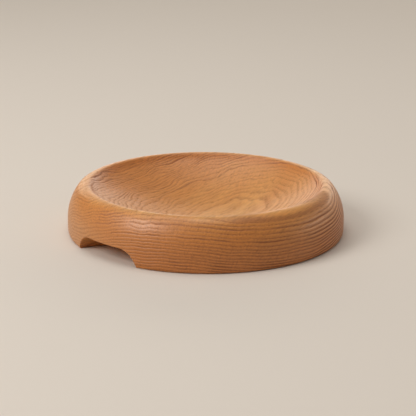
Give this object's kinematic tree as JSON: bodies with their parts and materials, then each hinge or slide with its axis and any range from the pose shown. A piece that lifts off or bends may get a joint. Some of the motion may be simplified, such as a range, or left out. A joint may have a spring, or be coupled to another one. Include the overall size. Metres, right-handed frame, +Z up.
{
  "type": "offering plate",
  "caption": "Round turned wooden offering plate with a wide shallow dish, a fat rolled rim, scooped finger notches under the edge and a felt pad beneath.",
  "frame": {"origin": "centre of the underside of the felt pad, on the surface that the plate rests on", "axes": "+Z up out of the dish, +X along the grain of the wood and out through one finger notch"},
  "size_m": [0.3048, 0.305, 0.0535],
  "materials": {
    "oiled_oak": "turned across the end of one flat-sawn slab, sanded and oiled to a satin sheen",
    "wool_felt": "pressed wool felt, glued down"
  },
  "bodies": {
    "root": {"turned_body": "oiled_oak", "felt_pad": "wool_felt"}
  },
  "joints": []
}
